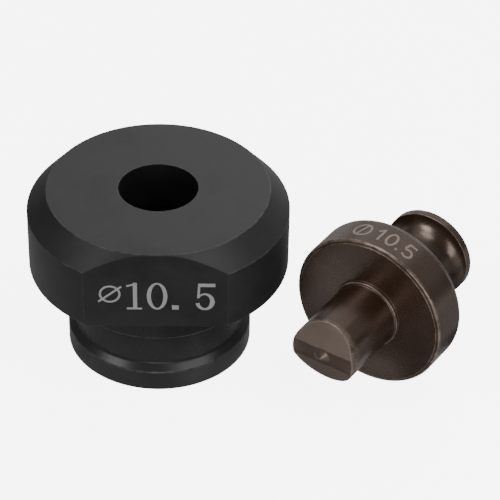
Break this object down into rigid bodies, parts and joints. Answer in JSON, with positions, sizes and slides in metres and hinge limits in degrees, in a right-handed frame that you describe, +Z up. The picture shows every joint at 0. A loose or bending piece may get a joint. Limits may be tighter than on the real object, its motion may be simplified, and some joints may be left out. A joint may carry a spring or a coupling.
{
  "type": "knockout punch",
  "caption": "Matched knockout punch and die: shouldered round punch with sheared, pipped tip and necked knob, and flanged die with bore, milled flat and grooved spigot.",
  "frame": {"origin": "centre of the die's base, on the axis of its bore", "axes": "+Z up along the die's bore, towards the plate; -Y towards the die's milled flat; the punch lies on its collar at the +X side"},
  "size_m": [0.0684, 0.0439, 0.0281],
  "materials": {
    "black_oxide_steel": "black oxide on ground tool steel, satin",
    "brown_oxide_steel": "brown oxide on turned tool steel, satin"
  },
  "bodies": {
    "root": {"die": "black_oxide_steel", "punch": "brown_oxide_steel"}
  },
  "joints": []
}
